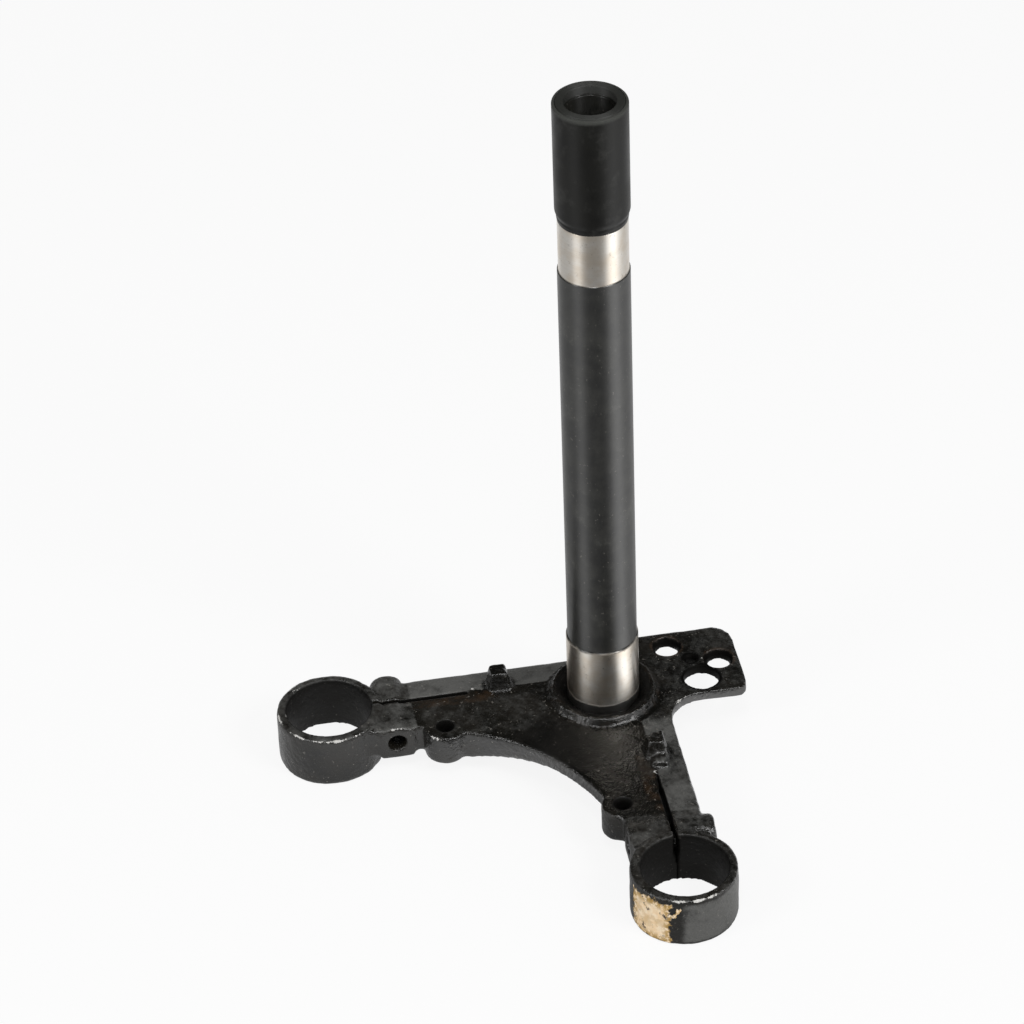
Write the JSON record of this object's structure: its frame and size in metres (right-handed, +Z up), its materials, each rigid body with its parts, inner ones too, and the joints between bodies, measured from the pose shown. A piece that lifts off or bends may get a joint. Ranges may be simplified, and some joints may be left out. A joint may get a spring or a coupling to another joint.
{
  "type": "motorcycle steering stem",
  "caption": "Cast lower fork yoke with split fork clamps, stop lugs and a drilled bracket tab, a tall hollow steering stem and a black sleeve over its threaded end.",
  "frame": {"origin": "on the stem axis in the plane of the hub and clamp feet", "axes": "+Z up along the stem, -Y towards the fork clamps, +X to the right when looking along +Y"},
  "size_m": [0.206, 0.1465, 0.2924],
  "materials": {
    "yoke": "rough casting, worn black paint",
    "stem": "ground seats, dark shank between them",
    "thread_sleeve": "satin black"
  },
  "bodies": {
    "root": {"yoke": "yoke", "stem": "stem", "thread_sleeve": "thread_sleeve"}
  },
  "joints": []
}
